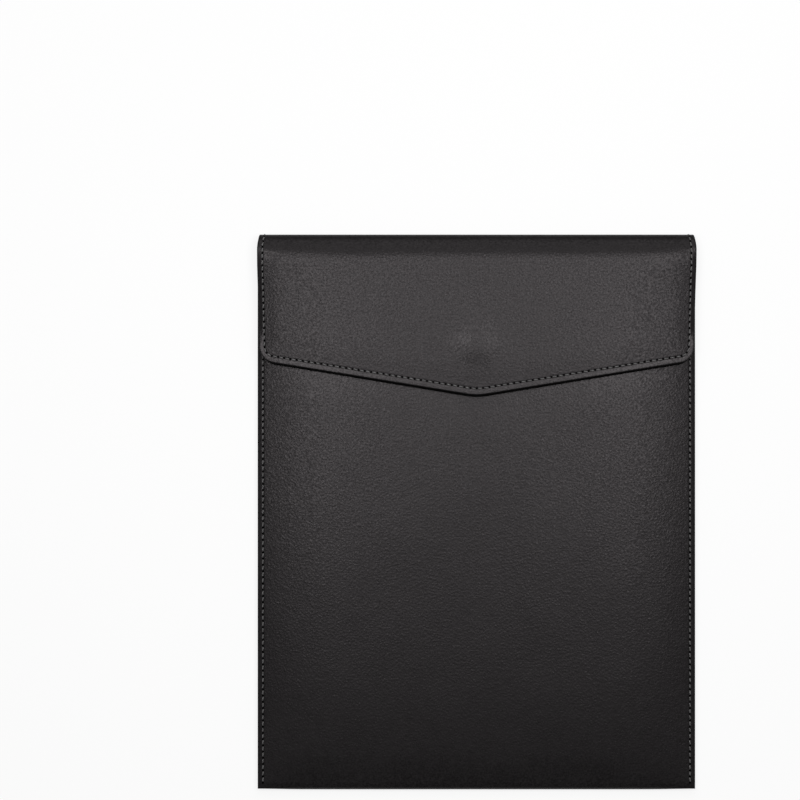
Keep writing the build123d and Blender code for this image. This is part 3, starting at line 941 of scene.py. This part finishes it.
def leather(name, dark, light, relief, gloss):
    """Fine grained leather, painted at its cut edges and smoother where it is rubbed."""
    made, tree, shader = material(name, Specular_IOR_Level=gloss, Specular_Tint=LEATHER_TINT)
    place = rest_place(tree)
    bend = node(tree, "ShaderNodeTexNoise", Vector=place, Scale=0.6, Detail=2.0)
    warped = node(tree, "ShaderNodeVectorMath", operation="MULTIPLY_ADD")
    for socket, value in zip(warped.inputs, (bend.outputs["Color"], GRAIN_BEND, place)):
        plug(tree, socket, value)
    cells = node(tree, "ShaderNodeTexVoronoi", Vector=warped.outputs["Vector"], Scale=GRAIN,
                 feature="SMOOTH_F1", Smoothness=0.45)
    pebble = levels(tree, cells.outputs["Distance"], 0.0, 0.7, 1.0, 0.0)
    fine = mottle(tree, place, Scale=1.0, Detail=1.5, Roughness=0.45, Distortion=0.15)
    cloudy = mottle(tree, place, Scale=0.055, Detail=4.0, Roughness=0.55)
    patchy = mottle(tree, place, Scale=0.3, Detail=3.0, Roughness=0.6)
    tone = weighted(tree, (cloudy, 0.12), (patchy, 0.18), (fine, 0.7))
    base = blend_colours(tree, levels(tree, tone, 0.36, 0.64), dark, light)
    edge = stored(tree, "edge").outputs["Fac"]
    colour(tree, shader, edge, base, tuple(PAINT_SHARE * c for c in dark))
    rough = levels(tree, fine, NOISE_LOW, NOISE_HIGH, LEATHER_ROUGH, LEATHER_SMOOTH)
    rub = stored(tree, "rub").outputs["Fac"]
    feed(tree, shader, Roughness=weighted(tree, (rough, 1.0), (rub, -0.11), (edge, 0.35)))
    bump(tree, shader, weighted(tree, (pebble, 0.46), (fine, 0.58)), 0.00008, relief)
    return made


def cloth():
    """Woven lining."""
    made, tree, shader = material("lining_cloth", Specular_IOR_Level=0.15, Roughness=0.9,
                                  Sheen_Weight=0.15)
    place = rest_place(tree)
    warp, weft = [bands(tree, place, Scale=0.62, Distortion=1.2, Detail=2.0, bands_direction=way)
                  for way in "XY"]
    weave = maths(tree, "MULTIPLY", warp, weft)
    speck = mottle(tree, place, Scale=0.85, Detail=4.0, Roughness=0.7)
    cloudy = mottle(tree, place, Scale=0.07, Detail=3.0)
    tone = weighted(tree, (speck, 0.9), (weave, 0.3), (cloudy, 0.12))
    colour(tree, shader, levels(tree, tone, 0.38, 0.80),
           (0.030, 0.0288, 0.0276), (0.192, 0.1845, 0.1770))
    bump(tree, shader, tone, 0.00016, 0.7)
    return made


def thread():
    """Twisted dark thread, lighter along its twist to stand in for glints: partly painted highlight.
    """
    made, tree, shader = material("thread", Specular_IOR_Level=0.65, Sheen_Weight=0.1)
    place = rest_place(tree)
    twist_and_glint = bands(tree, place, Scale=0.8, Distortion=0.6, bands_direction="DIAGONAL")
    fuzz = mottle(tree, place, Scale=4.0, Detail=3.0)
    # the light end of this blend is painted highlight on a dark thread
    colour(tree, shader, twist_and_glint, (0.028, 0.0275, 0.0275), (0.118, 0.114, 0.114))
    roughness(tree, shader, fuzz, 0.30, 0.44)
    bump(tree, shader, weighted(tree, (twist_and_glint, 1.0), (fuzz, 0.4)), 0.0001, 0.7)
    return made


def edge_paint_and_shadow():
    """Matt black paint on the flap's cut edge, made darker than paint so that it also stands for the
    shadow line under the flap: partly painted shadow.
    """
    made, tree, shader = material("edge_paint_and_shadow", Specular_IOR_Level=0.03)
    brushed = mottle(tree, rest_place(tree), Scale=1.6, Detail=3.0)
    colour(tree, shader, brushed, (0.0006, 0.0006, 0.0006), (0.0024, 0.0023, 0.0023))
    roughness(tree, shader, brushed, 0.75, 0.95)
    bump(tree, shader, brushed, 0.00005, 0.4)
    return made


def needle_hole_shade():
    """A near-black disc for the shade inside a needle hole: painted shade."""
    made, tree, shader = material("needle_hole_shade", Specular_IOR_Level=0.01, Roughness=0.95)
    hole_shade_mottle = mottle(tree, rest_place(tree), Scale=3.0, Detail=2.0)
    colour(tree, shader, hole_shade_mottle, (0.0003, 0.0003, 0.0003), (0.0014, 0.0014, 0.0014))
    return made


def plated(name, bright, rough_low, rough_high, metallic, where):
    """Scuffed metal; where gives the place on the piece."""
    made, tree, shader = material(name, Metallic=metallic)
    place = where(tree)
    scuff = mottle(tree, place, Scale=2.2, Detail=6.0, Roughness=0.7)
    cloud = mottle(tree, place, Scale=0.5, Detail=2.0)
    colour(tree, shader, cloud, tuple(0.86 * c for c in bright), bright)
    roughness(tree, shader, scuff, rough_low, rough_high)
    bump(tree, shader, scuff, 0.00003, 0.25)
    return made


def card(name, where):
    """Grey board; where gives the place on the piece."""
    made, tree, shader = material(name, Roughness=0.9)
    pulp = mottle(tree, where(tree), Scale=0.9, Detail=6.0, Roughness=0.7)
    colour(tree, shader, pulp, (0.28, 0.26, 0.225), (0.42, 0.39, 0.345))
    bump(tree, shader, pulp, 0.00008, 0.5)
    return made


leather_outside = leather("leather_black", (0.0050, 0.0045, 0.0047), (0.0158, 0.0146, 0.0151),
                          relief=1.0, gloss=0.135)
leather_inside = leather("leather_facing", (0.0056, 0.0051, 0.0053), (0.0202, 0.0187, 0.0193),
                         relief=1.35, gloss=0.17)
lining_cloth = cloth()
# dark thread with painted highlight in its colour
thread_painted_glint = thread()
# dark discs at the needle holes: painted shade
hole_painted_shade = needle_hole_shade()
# edge paint and painted shadow under the flap
paint_and_shadow_black = edge_paint_and_shadow()
nickel = plated("nickel", (0.74, 0.73, 0.715), 0.56, 0.72, 1.0, rest_place)
# a darker copy of the nickel for the pieces inside the snap: painted shade
nickel_painted_shade = plated("nickel_painted_shade", (0.36, 0.35, 0.345), 0.60, 0.74, 1.0, solid_place)
magnet_dark = plated("magnet_dark", (0.035, 0.035, 0.037), 0.5, 0.7, 0.0, solid_place)
greyboard = card("greyboard", rest_place)
greyboard_inside = card("greyboard_inside", solid_place)


# Pieces on their bodies

PAINT_AND_SHADOW_FROM = 0.93          # the facing takes the near-black edge paint, which is partly painted shadow, where its edge value is higher


def dress(obj, mats, nodes):
    """Gives a piece its materials, and hides the CAD nodes that it stands for."""
    for mat in mats:
        obj.data.materials.append(mat)
    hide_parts(*nodes)
    return obj


def sewing(name, rows, nodes):
    return dress(stitched(name, rows), [thread_painted_glint, hole_painted_shade], nodes)


pocket_skin = dress(pocket_leather(), [leather_outside],
                    ["front_leather", "bottom_fold_leather", "back_leather"])
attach(pocket_skin, "pocket")
lower_skin = dress(fold_leather("spine_lower_leather", lower_path), [leather_outside],
                   ["spine_leather"])
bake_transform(lower_skin)
upper_skin = dress(fold_leather("spine_upper_leather", upper_path), [leather_outside],
                   ["spine_leather"])
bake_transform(upper_skin)
flap_skin = dress(flap_leather(), [leather_outside], ["flap_leather"])
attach(flap_skin, "flap")
# the facing's cut edge is near-black: edge paint and painted shadow
facing = dress(flap_facing(), [leather_inside, paint_and_shadow_black], ["flap_facing"])
cut = np.zeros(len(facing.data.vertices), np.float32)
facing.data.attributes["edge"].data.foreach_get("value", cut)
facing.data.polygons.foreach_set("material_index", [int(min(cut[v] for v in face.vertices) > PAINT_AND_SHADOW_FROM)
                                                    for face in facing.data.polygons])
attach(facing, "flap")

pocket_cloth = dress(pocket_lining(), [lining_cloth],
                     ["front_lining", "bottom_fold_lining", "back_lining", "left_margin_lining",
                      "right_margin_lining"])
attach(pocket_cloth, "pocket")
lower_cloth = dress(fold_lining("fold_lower_lining", lower_lining_path, ["start", "end"]),
                    [lining_cloth], ["spine_lining"])
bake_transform(lower_cloth)
upper_cloth = dress(fold_lining("fold_upper_lining", upper_lining_path, ["start"]),
                    [lining_cloth], ["spine_lining", "flap_lining"])
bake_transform(upper_cloth)

front_card = dress(front_stiffener(), [greyboard], ["front_board"])
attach(front_card, "pocket")
flap_card = dress(flap_stiffener(), [greyboard], ["flap_board"])
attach(flap_card, "flap")

seams = sewing("side_seam_threads", pocket_rows(-1) + pocket_rows(1),
               ["left_seam_stitches", "right_seam_stitches"])
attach(seams, "pocket")
lower_seams = sewing("fold_lower_threads", lower_rows(-1) + lower_rows(1), ["spine_stitches"])
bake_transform(lower_seams)
upper_seams = sewing("fold_upper_threads", upper_rows(-1) + upper_rows(1), ["spine_stitches"])
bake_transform(upper_seams)
flap_seam = sewing("flap_threads", flap_rows(), ["flap_stitches"])
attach(flap_seam, "flap")

stud = dress(lathe("snap_stud_turned", STUD, False), [nickel], ["snap_stud"])
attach(stud, "flap")
socket = dress(lathe("snap_socket_turned", SOCKET, True), [nickel],
               ["snap_socket_cover"])
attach(socket, "pocket")

# the snap's inner pieces take the darker nickel, which is painted shade
for name, mat in (("back_board", greyboard_inside), ("snap_socket_base", nickel_painted_shade),
                  ("snap_magnet", magnet_dark), ("snap_socket_washer", nickel_painted_shade),
                  ("snap_stud_washer", nickel_painted_shade)):
    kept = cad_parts[name]
    kept.data.materials.clear()
    kept.data.materials.append(mat)


# Floor, light and camera

FLOOR_HALF, FLOOR_Z = 60, -0.0003
FLOOR_GLOW = 0.80       # share of plain white in what is seen of the floor


def floor():
    mesh = bpy.data.meshes.new("floor")
    corners = ((-1, -1), (1, -1), (1, 1), (-1, 1))
    mesh.from_pydata([(FLOOR_HALF * x, FLOOR_HALF * y, FLOOR_Z) for x, y in corners],
                     [], [(0, 1, 2, 3)])
    obj = bpy.data.objects.new("floor", mesh)
    bpy.context.scene.collection.objects.link(obj)
    made, tree, shader = material("pale_floor", Roughness=0.9, Specular_IOR_Level=0.1)
    soft = mottle(tree, node(tree, "ShaderNodeTexCoord").outputs["Object"], Scale=3.0, Detail=2.0)
    colour(tree, shader, soft, (0.93, 0.93, 0.93), (0.95, 0.95, 0.95))
    path = node(tree, "ShaderNodeLightPath")
    seen = maths(tree, "MAXIMUM", path.outputs["Is Camera Ray"], path.outputs["Is Glossy Ray"])
    seen = maths(tree, "MAXIMUM", seen, path.outputs["Is Transmission Ray"])
    white = node(tree, "ShaderNodeEmission", Strength=1.0)
    mixed = node(tree, "ShaderNodeMixShader", Fac=maths(tree, "MULTIPLY", seen, FLOOR_GLOW))
    tree.links.new(shader.outputs["BSDF"], mixed.inputs[1])
    tree.links.new(white.outputs["Emission"], mixed.inputs[2])
    tree.links.new(mixed.outputs["Shader"], tree.nodes["Material Output"].inputs["Surface"])
    mesh.materials.append(made)


def softbox(name, place, target, width, depth, power):
    lamp = bpy.data.lights.new(name, "AREA")
    lamp.shape = "RECTANGLE"
    lamp.size, lamp.size_y = width, depth
    lamp.energy = power
    obj = bpy.data.objects.new(name, lamp)
    obj.location = place
    obj.rotation_mode = "QUATERNION"
    obj.rotation_quaternion = (Vector(target) - Vector(place)).to_track_quat("-Z", "Y")
    bpy.context.scene.collection.objects.link(obj)


OVERHEAD_Y, OVERHEAD_Z, OVERHEAD_DEPTH = 0.16, 1.10, 0.44
OVERHEAD_POWER = 11.4   # watts to a metre of width

floor()
for name, x, width in (("overhead_left", -0.22, 0.39), ("overhead_right", 0.275, 0.38)):
    softbox(name, (x, OVERHEAD_Y, OVERHEAD_Z), (x, OVERHEAD_Y, 0.0), width, OVERHEAD_DEPTH,
            OVERHEAD_POWER * width)
softbox("overhead_middle", (0.03, 0.30, OVERHEAD_Z), (0.03, 0.30, 0.0), 0.11, 0.16, 0.47)
softbox("back_fill", (0.0, 1.05, 1.05), (0.0, 0.10, 0.0), 1.3, 0.95, 6.2)

world = bpy.data.worlds.new("studio")
world.use_nodes = True
feed(world.node_tree, world.node_tree.nodes["Background"],
     Color=(1.0, 1.0, 1.0, 1.0), Strength=0.15)
bpy.context.scene.world = world

camera = bpy.data.objects.new("camera", bpy.data.cameras.new("camera"))
camera.data.lens = 120.0
camera.data.sensor_width = 36.0
camera.location = (-0.0428, 0.0629, 1.4986)  # looks straight down
camera.data.clip_end = 200.0
bpy.context.scene.collection.objects.link(camera)
bpy.context.scene.camera = camera
bpy.context.scene.view_settings.view_transform = "Standard"
